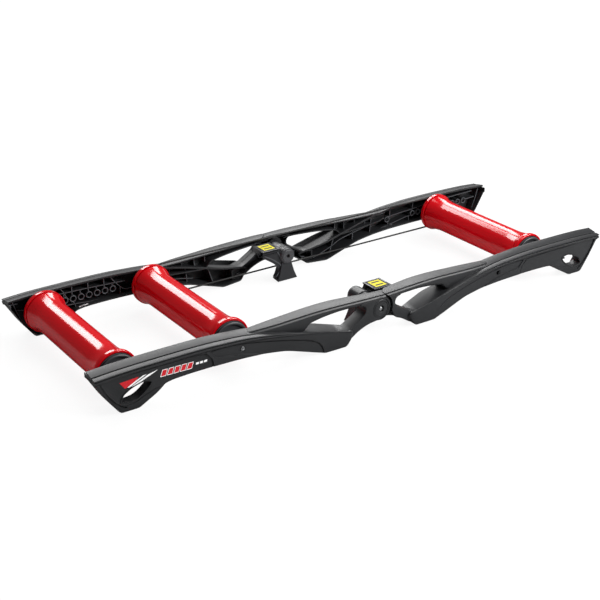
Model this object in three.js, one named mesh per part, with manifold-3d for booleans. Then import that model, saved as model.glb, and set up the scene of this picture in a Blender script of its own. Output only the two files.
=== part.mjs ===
// Folding bike rollers: two half frames, three waisted drums and a belt.
// Lengths are millimetres. +X runs to the end with one drum, +Y to the left, +Z up.
// The fold's axis lies along Y over x = 0, and the floor is z = 0.
import * as THREE from 'three';
import { mergeVertices } from 'three/addons/utils/BufferGeometryUtils.js';
import Module from 'manifold-3d';

// Whole frame
const halfLength = 675;
const wall = 3.2;
const seatGap = 0.3;
const overrun = 60;
const cutMargin = 2;

// Drums
const drumRadius = 39.4;
const rimRadius = 47.5;
const drumHalf = 175;
const drumWall = 3.6;
const flareLength = 72;
const rimWidth = 12;
const rimRound = 2.5;
const drumSides = 24;
const flareSteps = 3;
const floorClearance = 14.5;
const axleHeight = rimRadius + floorClearance;

// Drum ends, bearings and axles; the belt runs in the outer part of a drum's end cap
const plugLength = 12;
const pulleyRise = 6.2;
const pulleyFlange = 1.1;
const drumCapStep = 2.2;
const drumCapRing = 33;
const bearingRadius = 13;
const bearingWidth = 8;
const hubWall = 5;
const hubRadius = bearingRadius + hubWall;
const axleRadius = 5;
const axleBore = 3.2;
const spacerWall = 3;
const spacerLength = 12.3;
const boltHeadRadius = 4.6;
const boltHeadHeight = 3.4;
const boltLength = 16;
const boltShank = 3;

// Belt
const beltRadius = 2;
const beltSides = 8;
const beltBendSteps = 10;
const pulleyFloor = drumRadius - beltRadius - seatGap / 3;
const pulleyRadius = pulleyFloor + pulleyRise;
const pulleyInner = drumHalf + seatGap;
const pulleyOuter = pulleyInner + (beltRadius + seatGap + pulleyFlange) * 2;
const pulleyMiddle = (pulleyInner + pulleyOuter) / 2;

// Sockets for the axles, placed along the rail as shares of its half length
const socketFirstShare = 0.6422;
const socketMiddleShare = 0.5185;
const socketCount = 10;
const socketPitch = 19.5;
const socketFace = pulleyOuter + seatGap * 2 + spacerLength;
const socketRadius = 8;
const socketDepth = 13;
const socketPlay = 0.6;
const ribThickness = 2.2;
const ribSetback = 5;
const archRibPitch = 34;

// Cap along the top of each rail
const channelDepth = 32;
const webFace = socketFace + channelDepth;
const capRise = 32;
const railHeight = axleHeight + capRise;
const capWidth = 48;
const capThickness = 5;
const capWaist = 9;
const lipReach = 4;
const lipWidth = 7;
const lipDrop = 2.4;
const stepWidth = 10;
const stepDrop = 1.2;
const toothWidth = 5;
const toothDepth = 3;
const halfWidth = webFace + lipReach;
const capEdge = halfWidth - capWidth;

// Limb that bulges out to the inner foot
const limbBulge = 12.5;

// Arch that carries the top line on to the hinge
const archRise = 4.5;
const archHeight = railHeight + archRise;
const archStand = 5;
const archFace = webFace + archStand;
const archRecess = 11;
const archWidth = 48;
const archEdge = archFace - archWidth;
const archTaper = 20;

// Neck between the inner foot and the hinge
const neckLength = 122;
const neckWidth = 32;
const neckEdge = archFace - neckWidth;
const windowCorner = 7;

// Hinge
const lugRadius = 33;
const lugCover = 2.5;
const hingeHeight = archHeight - lugRadius - lugCover;
const lugThickness = 12;
const lugSplit = archFace - lugThickness;
const lugGap = 0.6;
const lugSwing = 1.5;
const coverRadius = 21.5;
const coverRise = 1;
const foldLimit = THREE.MathUtils.degToRad(105);
const foldSpare = THREE.MathUtils.degToRad(2.5);
const pinRadius = 4.5;
const pinInset = 1.5;
const pinPlay = 0.4;
const barrelRadius = 17;
const barrelLength = 50;
const barrelEnd = lugSplit - barrelLength;
const hubLength = 32;
const hubEnd = barrelEnd - hubLength;
const hubCapThickness = 7;
const hubCapStep = 1.5;

// Release levers
const padNear = 25;
const padFar = 74;
const padRise = 27;
const padTop = hingeHeight + padRise;
const padWidth = 42;
const padOuter = hubEnd + padWidth;
const padThickness = 3.5;
const padRibGap = 4;
const leverPlate = 10;
const leverSetback = 1.5;
const leverFootHeight = 4;
const leverFootHalf = 22;
const leverFootWidth = 32;
const labelMargin = 4;
const labelThickness = 0.5;

// Round shapes
const finePieces = 16;
const plainPieces = 10;
const socketPieces = 8;
const cornerPieces = 2;

const wasm = await Module();
wasm.setup();

const black = { color: 0x232427, roughness: 0.55, metalness: 0 };
const materials = {
  frame: black,
  drum: { color: 0xc3122a, roughness: 0.16, metalness: 0 },
  cap: { color: 0x303236, roughness: 0.5, metalness: 0 },
  lever: { color: 0x3a3c40, roughness: 0.5, metalness: 0 },
  steel: { color: 0xb9bcc0, roughness: 0.3, metalness: 1 },
  label: { color: 0xe8d80c, roughness: 0.45, metalness: 0 },
  rubber: { color: 0x141415, roughness: 0.7, metalness: 0 },
};

// Tools for closed solids

function flipped(geometry) {
  const index = geometry.index.array;
  for (let i = 0; i < index.length; i += 3) {
    [index[i], index[i + 1]] = [index[i + 1], index[i]];
  }
  return geometry;
}

function signedVolume(geometry) {
  const place = geometry.attributes.position;
  const index = geometry.index.array;
  const a = new THREE.Vector3();
  const b = new THREE.Vector3();
  const c = new THREE.Vector3();
  let sum = 0;
  for (let i = 0; i < index.length; i += 3) {
    a.fromBufferAttribute(place, index[i]);
    b.fromBufferAttribute(place, index[i + 1]);
    c.fromBufferAttribute(place, index[i + 2]);
    sum += a.dot(b.cross(c));
  }
  return sum / 6;
}

function merged(geometry) {
  const bare = geometry.clone();
  bare.deleteAttribute('normal');
  bare.deleteAttribute('uv');
  const shared = mergeVertices(bare);
  return signedVolume(shared) < 0 ? flipped(shared) : shared;
}

function solid(geometry) {
  const shared = merged(geometry);
  return new wasm.Manifold(new wasm.Mesh({
    numProp: 3,
    vertProperties: Float32Array.from(shared.attributes.position.array),
    triVerts: Uint32Array.from(shared.index.array),
  }));
}

function meshed(body) {
  const mesh = body.getMesh();
  const geometry = new THREE.BufferGeometry();
  geometry.setAttribute('position', new THREE.BufferAttribute(new Float32Array(mesh.vertProperties), 3));
  geometry.setIndex(new THREE.BufferAttribute(new Uint32Array(mesh.triVerts), 1));
  geometry.computeVertexNormals();
  return geometry;
}

function joined(bodies) {
  return bodies.reduce((sum, body) => sum.add(body));
}

function shapeOf(points) {
  return new THREE.Shape(points.map(([x, z]) => new THREE.Vector2(x, z)));
}

// Outline in the X-Z plane, made thick from y0 to y1.
function slab(shape, y0, y1) {
  const geometry = new THREE.ExtrudeGeometry(shape, { depth: y1 - y0, bevelEnabled: false, curveSegments: cornerPieces });
  return solid(geometry.rotateX(Math.PI / 2).translate(0, y1, 0));
}

function block(x0, x1, y0, y1, z0, z1) {
  const geometry = new THREE.BoxGeometry(x1 - x0, y1 - y0, z1 - z0);
  return solid(geometry.translate((x0 + x1) / 2, (y0 + y1) / 2, (z0 + z1) / 2));
}

// Round bar along Y.
function bar(radius, y0, y1, x, z, pieces = finePieces) {
  const geometry = new THREE.CylinderGeometry(radius, radius, y1 - y0, pieces);
  return solid(geometry.translate(x, (y0 + y1) / 2, z));
}

// Closed loops of equal length, joined one after the other and closed at both ends.
function loft(loops) {
  const count = loops[0].length;
  const points = loops.flat();
  const index = [];
  for (let row = 0; row + 1 < loops.length; row += 1) {
    for (let i = 0; i < count; i += 1) {
      const a = row * count + i;
      const b = row * count + (i + 1) % count;
      index.push(a, b, b + count, a, b + count, a + count);
    }
  }
  for (const [first, inward] of [[0, true], [(loops.length - 1) * count, false]]) {
    const loop = points.slice(first, first + count).map((p) => new THREE.Vector2(p[1], p[2]));
    for (const [a, b, c] of THREE.ShapeUtils.triangulateShape(loop, [])) {
      index.push(...(inward ? [a, c, b] : [a, b, c]).map((i) => i + first));
    }
  }
  const geometry = new THREE.BufferGeometry();
  geometry.setAttribute('position', new THREE.Float32BufferAttribute(points.flat(), 3));
  geometry.setIndex(index);
  return solid(geometry);
}

// Each point moves in by the same distance from both of its sides.
function inset(points, distance) {
  const area = THREE.ShapeUtils.area(points.map(([x, z]) => new THREE.Vector2(x, z)));
  const turn = Math.sign(area) * distance;
  return points.map((point, i) => {
    const before = points[(i + points.length - 1) % points.length];
    const after = points[(i + 1) % points.length];
    const a = new THREE.Vector2(point[0] - before[0], point[1] - before[1]).normalize();
    const b = new THREE.Vector2(after[0] - point[0], after[1] - point[1]).normalize();
    const miter = turn / (1 + a.dot(b));
    return [point[0] - (a.y + b.y) * miter, point[1] + (a.x + b.x) * miter];
  });
}

function rounded(points, radius) {
  const shape = new THREE.Shape();
  points.forEach((point, i) => {
    const before = points[(i + points.length - 1) % points.length];
    const after = points[(i + 1) % points.length];
    const corner = new THREE.Vector2(...point);
    const toBefore = new THREE.Vector2(...before).sub(corner);
    const toAfter = new THREE.Vector2(...after).sub(corner);
    const reach = Math.min(radius, toBefore.length() / 2.1, toAfter.length() / 2.1);
    const start = corner.clone().addScaledVector(toBefore.normalize(), reach);
    const end = corner.clone().addScaledVector(toAfter.normalize(), reach);
    if (i === 0) shape.moveTo(start.x, start.y);
    else shape.lineTo(start.x, start.y);
    shape.quadraticCurveTo(corner.x, corner.y, end.x, end.y);
  });
  shape.closePath();
  return shape;
}

function turned(points, angle) {
  return points.map(([x, z]) => {
    const rise = z - hingeHeight;
    return [
      x * Math.cos(angle) - rise * Math.sin(angle),
      hingeHeight + x * Math.sin(angle) + rise * Math.cos(angle),
    ];
  });
}

// Half rail, drawn for the front left quarter: x is the distance from the hinge, y from the middle.

// Columns: distance, top, underside, cap's share of its full width, bulge and waist.
const beamShares = [
  [1.000, 0.950, 0.848, 1.00, 0.00, 0.00],
  [0.922, 0.985, 0.000, 1.00, 0.00, 0.00],
  [0.868, 0.995, 0.000, 1.00, 0.00, 0.00],
  [0.776, 1.000, 0.400, 1.00, 0.00, 0.20],
  [0.711, 1.000, 0.455, 1.00, 0.00, 0.50],
  [0.630, 0.990, 0.455, 1.00, 0.00, 0.85],
  [0.519, 0.940, 0.420, 0.95, 0.00, 1.00],
  [0.444, 0.868, 0.383, 0.80, 0.10, 0.80],
  [0.363, 0.758, 0.303, 0.55, 0.40, 0.50],
  [0.230, 0.560, 0.000, 0.25, 1.00, 0.10],
  [0.145, 0.400, 0.000, 0.25, 1.00, 0.00],
];

// Columns: distance, top, underside, recess of the face and inset of the edge.
const archShares = [
  [0.495, 0.890, 0.640, 1.50, 0.40],
  [0.400, 0.930, 0.600, 0.90, 0.15],
  [0.285, 0.972, 0.560, 0.75, 0.00],
  [0.276, 0.975, 0.710, 0.72, 0.00],
  [0.222, 0.990, 0.790, 0.60, 0.00],
  [0.163, 1.000, 0.832, 0.42, 0.05],
  [0.074, 0.998, 0.835, 0.10, 0.60],
  [0.040, 0.988, 0.790, 0.00, 0.85],
  [0.000, 0.975, 0.740, 0.00, 1.00],
];

// Columns: distance from the hinge over the neck's length and height over the arch's height.
const neckShares = [
  [0.000, 0.300],
  [0.000, 0.972],
  [0.400, 0.985],
  [0.480, 0.850],
  [0.340, 0.800],
  [0.300, 0.690],
  [0.370, 0.605],
  [0.700, 0.350],
  [1.000, 0.300],
  [1.000, 0.060],
  [0.800, 0.045],
  [0.640, 0.130],
  [0.480, 0.230],
  [0.270, 0.300],
];

// Columns: distance over the rail's half length and height over its height.
const footOpeningShares = [
  [0.812, 0.570],
  [0.824, 0.630],
  [0.886, 0.545],
  [0.911, 0.295],
  [0.893, 0.245],
  [0.836, 0.395],
];

const innerLugFace = lugSplit - lugGap / 2;
const outerLugFace = lugSplit + lugGap / 2;
const swingRadius = lugRadius + lugSwing;
const socketMiddle = socketMiddleShare * halfLength;
const sockets = Array.from({ length: socketCount }, (_, i) => {
  return socketFirstShare * halfLength + i * socketPitch;
});

function beamStation([along, top, under, cap, bulge, waist]) {
  return {
    x: along * halfLength,
    top: top * railHeight,
    under: under * railHeight,
    cap,
    face: webFace + bulge * limbBulge,
    edge: capEdge + waist * capWaist,
  };
}

function beamLoop({ x, top, under, cap, face, edge }) {
  const lip = face + lipReach * cap;
  return [
    [face, under],
    [face, top - capThickness],
    [lip, top - capThickness + wall * (1 - cap)],
    [lip, top - lipDrop],
    [lip - lipWidth * cap, top - lipDrop],
    [lip - lipWidth * cap, top - stepDrop],
    [lip - (lipWidth + stepWidth) * cap, top - stepDrop],
    [lip - (lipWidth + stepWidth) * cap, top],
    [edge, top],
    [edge, top - capThickness],
    [face - wall, top - capThickness],
    [face - wall, under + wall],
    [edge, under + wall],
    [edge, under],
  ].map(([y, z]) => [x, y, z]);
}

// Middle of the walls, where a rib ends inside them.
function beamCore({ x, top, under, face, edge }) {
  const low = under + wall / 2;
  const high = top - capThickness / 2;
  return [[x, face - wall / 2, low], [x, face - wall / 2, high], [x, edge, high], [x, edge, low]];
}

function archStation([along, top, under, recess, taper]) {
  return {
    x: along * halfLength,
    top: top * archHeight,
    under: under * archHeight,
    face: archFace - recess * archRecess,
    edge: archEdge + taper * archTaper,
  };
}

function archLoop({ x, top, under, face, edge }) {
  return [
    [face, under],
    [face, top - wall / 2],
    [face - wall / 2, top],
    [edge, top],
    [edge, top - wall],
    [face - wall, top - wall],
    [face - wall, under + wall],
    [edge, under + wall],
    [edge, under],
  ].map(([y, z]) => [x, y, z]);
}

function archCore({ x, top, under, face, edge }) {
  const low = under + wall / 2;
  const high = top - wall / 2;
  return [[x, face - wall / 2, low], [x, face - wall / 2, high], [x, edge, high], [x, edge, low]];
}

const neckOutline = neckShares.map(([along, up]) => [along * neckLength, up * archHeight]);

function ribPlate(x0, z0, x1, z1, depthFrom) {
  const run = Math.hypot(x1 - x0, z1 - z0);
  const geometry = new THREE.BoxGeometry(run, webFace + limbBulge - depthFrom, ribThickness);
  geometry.rotateY(-Math.atan2(z1 - z0, x1 - x0));
  return solid(geometry.translate((x0 + x1) / 2, (webFace + limbBulge + depthFrom) / 2, (z0 + z1) / 2));
}

function beamRibs() {
  const face = socketFace + ribSetback;
  const lower = railHeight * 0.52;
  const crown = axleHeight + socketRadius - cutMargin;
  const last = sockets[socketCount - 1];
  const ribs = [
    ribPlate(socketMiddle - socketPitch * 2, lower, last + socketPitch, lower, face),
    ribPlate(sockets[0] - socketPitch / 2, railHeight, sockets[0] - socketPitch * 2, 0, face),
    ribPlate(last + socketPitch * 2, railHeight, last + socketPitch / 2, 0, face),
    ribPlate(socketMiddle, crown, socketMiddle, railHeight, face),
    ribPlate(socketMiddle - socketPitch, railHeight, socketMiddle - socketPitch * 3, 0, face),
  ];
  sockets.forEach((x) => ribs.push(ribPlate(x, crown, x, railHeight, face)));
  for (let x = socketMiddle - socketPitch * 4; x > neckLength; x -= archRibPitch * 1.5) {
    ribs.push(ribPlate(x, 0, x - archRibPitch / 2, railHeight, capEdge + ribSetback));
  }
  return joined(ribs);
}

function archRibs() {
  const ribs = [];
  for (let x = neckLength / 2; x < socketMiddle - socketPitch * 3; x += archRibPitch) {
    ribs.push(ribPlate(x, 0, x, archHeight, archEdge + ribSetback));
  }
  return joined(ribs);
}

function neckRibs() {
  const back = neckEdge + ribSetback;
  return ribPlate(0, hingeHeight, neckLength, wall * 3, back)
    .add(ribPlate(neckLength * 0.4, archHeight, neckLength * 0.55, 0, back));
}

function socketBosses() {
  const bosses = [...sockets, socketMiddle].map((x) => {
    return bar(socketRadius, socketFace, webFace - wall / 2, x, axleHeight, socketPieces);
  });
  return joined(bosses);
}

function socketBores() {
  const bores = sockets.map((x) => {
    const bottom = socketFace + socketDepth + seatGap;
    return bar(axleRadius + socketPlay, capEdge - overrun, bottom, x, axleHeight, socketPieces);
  });
  bores.push(bar(axleRadius + socketPlay, capEdge - overrun, halfWidth, socketMiddle, axleHeight, socketPieces));
  return joined(bores);
}

function capTeeth() {
  return joined(sockets.map((x) => block(
    x - toothWidth / 2,
    x + toothWidth / 2,
    capEdge - overrun,
    capEdge + toothDepth,
    railHeight - capThickness,
    railHeight + overrun,
  )));
}

// The half whose lug lies outside keeps the face side of the joint, and the other half the inside.
function hingeLug(outside) {
  if (!outside) {
    return bar(lugRadius, neckEdge, innerLugFace, 0, hingeHeight)
      .add(bar(barrelRadius, barrelEnd, innerLugFace, 0, hingeHeight));
  }
  return bar(lugRadius, outerLugFace, archFace, 0, hingeHeight)
    .add(bar(coverRadius, outerLugFace, archFace + coverRise, 0, hingeHeight));
}

// Room for the other half's lug, and for its neck as the frame folds.
function hingeRoom(outside) {
  const y0 = outside ? barrelEnd - overrun : innerLugFace;
  const y1 = outside ? outerLugFace : archFace + overrun;
  const other = neckOutline.map(([x, z]) => [-x, z]);
  const necks = [1, 0.87, 0.74].map((share) => {
    return slab(shapeOf(turned(other, (foldLimit + foldSpare) * share)), y0, y1);
  });
  return joined([bar(swingRadius, y0, y1, 0, hingeHeight), ...necks]);
}

function halfRail(outside, toothed) {
  const beam = beamShares.map(beamStation);
  const arch = archShares.map(archStation);
  const neck = slab(rounded(neckOutline, windowCorner), neckEdge, archFace);
  const hollow = slab(shapeOf(inset(neckOutline, wall)), neckEdge - overrun, archFace - wall);
  const neckCore = slab(shapeOf(inset(neckOutline, wall / 2)), neckEdge - overrun, archFace - wall / 2);
  const shell = joined([
    loft(beam.map(beamLoop)),
    loft(arch.map(archLoop)),
    neck.subtract(hollow),
    beamRibs().intersect(loft(beam.map(beamCore))),
    archRibs().intersect(loft(arch.map(archCore))),
    neckRibs().intersect(neckCore),
    socketBosses(),
  ]);
  const opening = footOpeningShares.map(([along, up]) => [along * halfLength, up * railHeight]);
  const cuts = [
    slab(rounded(opening, windowCorner), webFace - wall - ribThickness, halfWidth + overrun),
    socketBores(),
  ];
  if (toothed) cuts.push(capTeeth());
  return shell
    .subtract(joined(cuts))
    .subtract(hingeRoom(outside))
    .add(hingeLug(outside))
    .subtract(bar(pinRadius + pinPlay, barrelEnd - overrun, archFace + overrun, 0, hingeHeight, plainPieces));
}

function mirrored(body, alongX, alongY) {
  const geometry = meshed(body);
  geometry.scale(alongX, alongY, 1);
  if (alongX * alongY < 0) flipped(geometry);
  geometry.computeVertexNormals();
  return geometry;
}

// Drums and what carries them, each drawn round the Y axis.

function revolved(profile, pieces) {
  const points = profile.map(([radius, y]) => new THREE.Vector2(radius, y));
  return solid(new THREE.LatheGeometry(points, pieces));
}

function flareRadius(y) {
  const share = Math.max(0, (y - drumHalf + rimWidth + flareLength) / flareLength);
  return drumRadius + (rimRadius - drumRadius) * share ** 2.2;
}

function drumShell() {
  const bore = drumRadius - drumWall;
  const half = [
    [bore, 0],
    [bore, drumHalf],
    [rimRadius - rimRound, drumHalf],
    [rimRadius, drumHalf - rimRound],
  ];
  for (let step = 0; step <= flareSteps; step += 1) {
    const y = drumHalf - rimWidth - flareLength * (step / flareSteps);
    half.push([flareRadius(y), y]);
  }
  const other = half.slice(1).map(([radius, y]) => [radius, -y]).reverse();
  return revolved([...half, ...other, [bore, 0]], drumSides);
}

function drumCap() {
  const plug = drumRadius - drumWall - seatGap * 2;
  const back = drumHalf - plugLength;
  const pocket = pulleyOuter - bearingWidth - seatGap;
  const passage = axleRadius + spacerWall;
  return revolved([
    [bearingRadius + seatGap, pulleyOuter],
    [hubRadius, pulleyOuter],
    [hubRadius + drumCapStep, pulleyOuter - drumCapStep],
    [drumCapRing, pulleyOuter - drumCapStep],
    [drumCapRing + drumCapStep, pulleyOuter],
    [pulleyRadius, pulleyOuter],
    [pulleyFloor, pulleyOuter - pulleyFlange],
    [pulleyFloor, pulleyInner + pulleyFlange],
    [pulleyRadius, pulleyInner],
    [plug, pulleyInner],
    [plug, back],
    [passage, back],
    [passage, pocket],
    [bearingRadius + seatGap, pocket],
    [bearingRadius + seatGap, pulleyOuter],
  ], finePieces);
}

function bearing() {
  const back = pulleyOuter - bearingWidth;
  const face = pulleyOuter;
  return revolved([
    [axleRadius + seatGap, back],
    [axleRadius + seatGap, face],
    [bearingRadius, face],
    [bearingRadius, back],
    [axleRadius + seatGap, back],
  ], plainPieces);
}

function spacer() {
  const inner = pulleyOuter + seatGap;
  const outer = socketFace - seatGap;
  return revolved([
    [axleRadius + seatGap, inner],
    [axleRadius + spacerWall, inner],
    [axleRadius + spacerWall, outer],
    [axleRadius + seatGap, outer],
    [axleRadius + seatGap, inner],
  ], plainPieces);
}

function axle(reach, tapped) {
  const rod = bar(axleRadius, -reach, reach, 0, 0, plainPieces);
  if (!tapped) return rod;
  return rod
    .subtract(bar(axleBore, reach - boltLength, reach + overrun, 0, 0, socketPieces))
    .subtract(bar(axleBore, -reach - overrun, boltLength - reach, 0, 0, socketPieces));
}

const boltSeat = webFace - wall - seatGap * 2;

function axleBolt() {
  const tip = boltSeat - boltLength + cutMargin;
  const head = bar(boltHeadRadius, boltSeat + seatGap, boltSeat + boltHeadHeight, 0, 0, plainPieces);
  const shank = bar(boltShank, tip, boltSeat + boltHeadHeight / 2, 0, 0, socketPieces);
  const recess = new THREE.CylinderGeometry(boltShank / 1.6, boltShank / 1.6, boltHeadHeight, 6);
  recess.translate(0, boltSeat + boltHeadHeight, 0);
  return head.add(shank).subtract(solid(recess));
}

// The belt runs in the left-hand grooves of the middle and the front drum.
function beltLoop(xBack, xFront) {
  const chordShare = Math.cos(Math.PI / 2 / beltBendSteps);
  const radius = (pulleyFloor + beltRadius + seatGap) / chordShare;
  const route = [];
  for (const [x, start] of [[xFront, Math.PI / 2], [xBack, -Math.PI / 2]]) {
    for (let i = 0; i <= beltBendSteps; i += 1) {
      const angle = start - Math.PI * (i / beltBendSteps);
      route.push(new THREE.Vector3(
        x + radius * Math.cos(angle),
        pulleyMiddle,
        axleHeight + radius * Math.sin(angle),
      ));
    }
  }
  return beltTube(route);
}

function beltTube(route) {
  const index = [];
  const points = [];
  route.forEach((centre, row) => {
    const before = route[(row + route.length - 1) % route.length];
    const after = route[(row + 1) % route.length];
    const ahead = after.clone().sub(before).normalize();
    const side = new THREE.Vector3(0, 1, 0);
    const up = ahead.clone().cross(side);
    for (let i = 0; i < beltSides; i += 1) {
      const angle = (i / beltSides) * Math.PI * 2;
      const point = centre.clone().addScaledVector(side, beltRadius * Math.cos(angle));
      points.push(point.addScaledVector(up, beltRadius * Math.sin(angle)).toArray());
      const a = row * beltSides + i;
      const b = row * beltSides + (i + 1) % beltSides;
      const next = ((row + 1) % route.length - row) * beltSides;
      index.push(a, b, b + next, a, b + next, a + next);
    }
  });
  const geometry = new THREE.BufferGeometry();
  geometry.setAttribute('position', new THREE.Float32BufferAttribute(points.flat(), 3));
  geometry.setIndex(index);
  return merged(geometry);
}

// Hinge pins and levers, drawn on the left with the pad behind the hinge.

function hingePin() {
  const inner = hubEnd - hubCapThickness + pinInset;
  return bar(pinRadius, inner, archFace - pinInset, 0, 0, plainPieces);
}

function hubCap() {
  const y1 = hubEnd - seatGap;
  const y0 = y1 - hubCapThickness;
  return bar(barrelRadius, y0 + hubCapStep, y1, 0, 0)
    .add(bar(barrelRadius - hubCapStep, y0, y1, 0, 0))
    .subtract(bar(pinRadius + seatGap, y0 - overrun, y1 + overrun, 0, 0, plainPieces));
}

// Columns: distance from the hinge over the pad's far end, and height over the pad's height.
const leverShares = [
  [-1.00, 0.980],
  [-0.30, 0.980],
  [-0.05, 0.880],
  [0.190, 0.740],
  [0.120, 0.400],
  [0.270, 0.220],
  [0.220, 0.045],
  [-0.30, 0.045],
  [-0.36, 0.200],
  [-0.20, 0.400],
  [-0.46, 0.620],
  [-1.00, 0.830],
];

function releaseLever() {
  const y0 = hubEnd;
  const y1 = barrelEnd - seatGap;
  const low = padTop - padThickness * 2 - padRibGap;
  const profile = leverShares.map(([along, up]) => [along * padFar, up * padTop]);
  const plate = slab(shapeOf(profile), y0 + leverSetback, y0 + leverSetback + leverPlate);
  const hub = bar(barrelRadius, y0, y1, 0, hingeHeight);
  const pad = slab(shapeOf([
    [-padFar, padTop],
    [-padNear, padTop],
    [-padNear, padTop - padThickness],
    [-padFar + padRibGap, padTop - padThickness],
    [-padFar + padRibGap, low + padThickness],
    [-padNear - padRibGap, low + padThickness],
    [-padNear - padRibGap, low],
    [-padFar, low],
  ]), y0 - leverSetback, padOuter);
  const half = leverFootHalf;
  const front = y0 + leverSetback * 2;
  const back = y0 + leverFootWidth;
  const foot = loft([-half, half].map((x) => [
    [x, front, leverFootHeight],
    [x, back, leverFootHeight],
    [x / 2, (front + back) / 2 + leverSetback, hingeHeight - barrelRadius / 2],
    [x / 2, front, hingeHeight - barrelRadius / 2],
  ]));
  return joined([plate, hub, pad, foot])
    .subtract(bar(pinRadius + pinPlay, y0 - overrun, y1 + overrun, 0, hingeHeight, plainPieces));
}

function leverLabel() {
  const low = padTop + seatGap / 3;
  const geometry = new THREE.BoxGeometry(
    padFar - padNear - labelMargin * 2,
    padOuter - hubEnd - labelMargin * 2,
    labelThickness,
  );
  return geometry.translate(-(padFar + padNear) / 2, (padOuter + hubEnd) / 2, low + labelThickness / 2);
}

// Assembly

const rollers = new THREE.Group();

function place(name, geometry, look, x = 0, z = 0) {
  const mesh = new THREE.Mesh(geometry, new THREE.MeshStandardMaterial(materials[look]));
  mesh.name = name;
  mesh.position.set(x, 0, z);
  rollers.add(mesh);
}

const sides = [['left', 1], ['right', -1]];
const ends = [['front', 1], ['rear', -1]];
const rearX = -sockets[socketCount - 1];
const middleX = -socketMiddle;
const frontX = sockets[3];

for (const [end, alongX] of ends) {
  for (const [side, alongY] of sides) {
    const outside = alongX * alongY > 0;
    place(`${end}_rail_${side}`, mirrored(halfRail(outside, alongX > 0), alongX, alongY), 'frame');
  }
}

for (const [which, x] of [['rear', rearX], ['middle', middleX], ['front', frontX]]) {
  const bolted = which === 'middle';
  const reach = bolted ? boltSeat - seatGap : socketFace + socketDepth;
  place(`${which}_drum`, meshed(drumShell()), 'drum', x, axleHeight);
  place(`${which}_axle`, meshed(axle(reach, bolted)), 'steel', x, axleHeight);
  for (const [side, alongY] of sides) {
    const put = (piece, body, look) => {
      place(`${which}_${piece}_${side}`, mirrored(body, 1, alongY), look, x, axleHeight);
    };
    put('drum_cap', drumCap(), 'cap');
    put('bearing', bearing(), 'steel');
    put('spacer', spacer(), 'steel');
    if (bolted) place(`${which}_axle_bolt_${side}`, mirrored(axleBolt(), 1, alongY), 'steel', x, axleHeight);
  }
}

place('drive_belt', beltLoop(middleX, frontX), 'rubber');

for (const [side, alongY] of sides) {
  place(`hinge_pin_${side}`, mirrored(hingePin(), 1, alongY), 'steel', 0, hingeHeight);
  place(`hinge_cap_${side}`, mirrored(hubCap(), 1, alongY), 'cap', 0, hingeHeight);
  place(`release_lever_${side}`, mirrored(releaseLever(), alongY, alongY), 'lever');
  place(`lever_label_${side}`, mirrored(solid(leverLabel()), alongY, alongY), 'label');
}

export default rollers;
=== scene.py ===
# Folding bike rollers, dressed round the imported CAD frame.
# A rider balances on three drums held between two low plastic rails that fold at the middle.
# Sizes are millimetres where they are written, and metres once a mesh is made.
import math

import bpy
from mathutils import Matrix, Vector


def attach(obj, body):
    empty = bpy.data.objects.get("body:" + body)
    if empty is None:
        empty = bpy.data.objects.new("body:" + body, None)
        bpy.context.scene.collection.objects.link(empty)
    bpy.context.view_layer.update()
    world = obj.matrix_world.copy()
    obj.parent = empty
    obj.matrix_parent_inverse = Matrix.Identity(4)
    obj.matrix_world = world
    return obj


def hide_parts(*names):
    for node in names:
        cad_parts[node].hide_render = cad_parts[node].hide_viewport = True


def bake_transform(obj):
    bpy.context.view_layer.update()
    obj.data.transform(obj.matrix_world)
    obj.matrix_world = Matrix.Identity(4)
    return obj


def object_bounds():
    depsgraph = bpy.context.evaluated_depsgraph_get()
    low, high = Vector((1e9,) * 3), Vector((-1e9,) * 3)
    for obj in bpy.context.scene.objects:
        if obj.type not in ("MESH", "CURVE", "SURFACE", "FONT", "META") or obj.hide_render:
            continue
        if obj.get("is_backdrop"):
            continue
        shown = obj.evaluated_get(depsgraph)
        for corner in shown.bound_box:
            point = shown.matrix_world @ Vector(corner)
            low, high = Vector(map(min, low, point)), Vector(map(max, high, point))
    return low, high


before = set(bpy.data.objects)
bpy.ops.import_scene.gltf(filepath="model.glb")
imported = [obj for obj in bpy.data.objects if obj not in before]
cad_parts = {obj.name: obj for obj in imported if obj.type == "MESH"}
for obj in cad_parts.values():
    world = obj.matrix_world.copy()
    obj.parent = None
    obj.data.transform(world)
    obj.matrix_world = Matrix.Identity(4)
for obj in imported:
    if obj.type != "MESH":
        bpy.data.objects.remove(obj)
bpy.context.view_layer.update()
MM = 0.001

# Studio: a pale floor, a white backdrop and soft boxes that lie along the drums.
# The camera stands where the photograph's did, a little above the near rear corner.
# The floor keeps the frame's soft shadow and is white to the camera.


def linear(code):
    """A hex colour as the shader's linear numbers."""
    shares = [int(code[i:i + 2], 16) / 255 for i in (1, 3, 5)]
    return tuple(s / 12.92 if s <= 0.04045 else ((s + 0.055) / 1.055) ** 2.4 for s in shares) + (1,)


def add(material, kind, settings=None, links=None):
    """Adds a node, sets its sockets or properties, and links its inputs to other nodes' outputs."""
    tree = material.node_tree
    node = tree.nodes.new(kind)
    for key, value in (settings or {}).items():
        if isinstance(key, int) or key in node.inputs:
            node.inputs[key].default_value = value
        else:
            setattr(node, key, value)
    for key, (other, output) in (links or {}).items():
        tree.links.new(other.outputs[output], node.inputs[key])
    return node


def mixed(material, share, base, other):
    """A shader that goes from base to other as share, a node and its output, goes from 0 to 1."""
    return add(material, "ShaderNodeMixShader", {}, {"Fac": share, 1: (base, 0), 2: (other, 0)})


def bare_material(name):
    """A material without nodes, to be filled one by one."""
    material = bpy.data.materials.new(name)
    material.use_nodes = True
    material.node_tree.nodes.clear()
    return material


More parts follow.
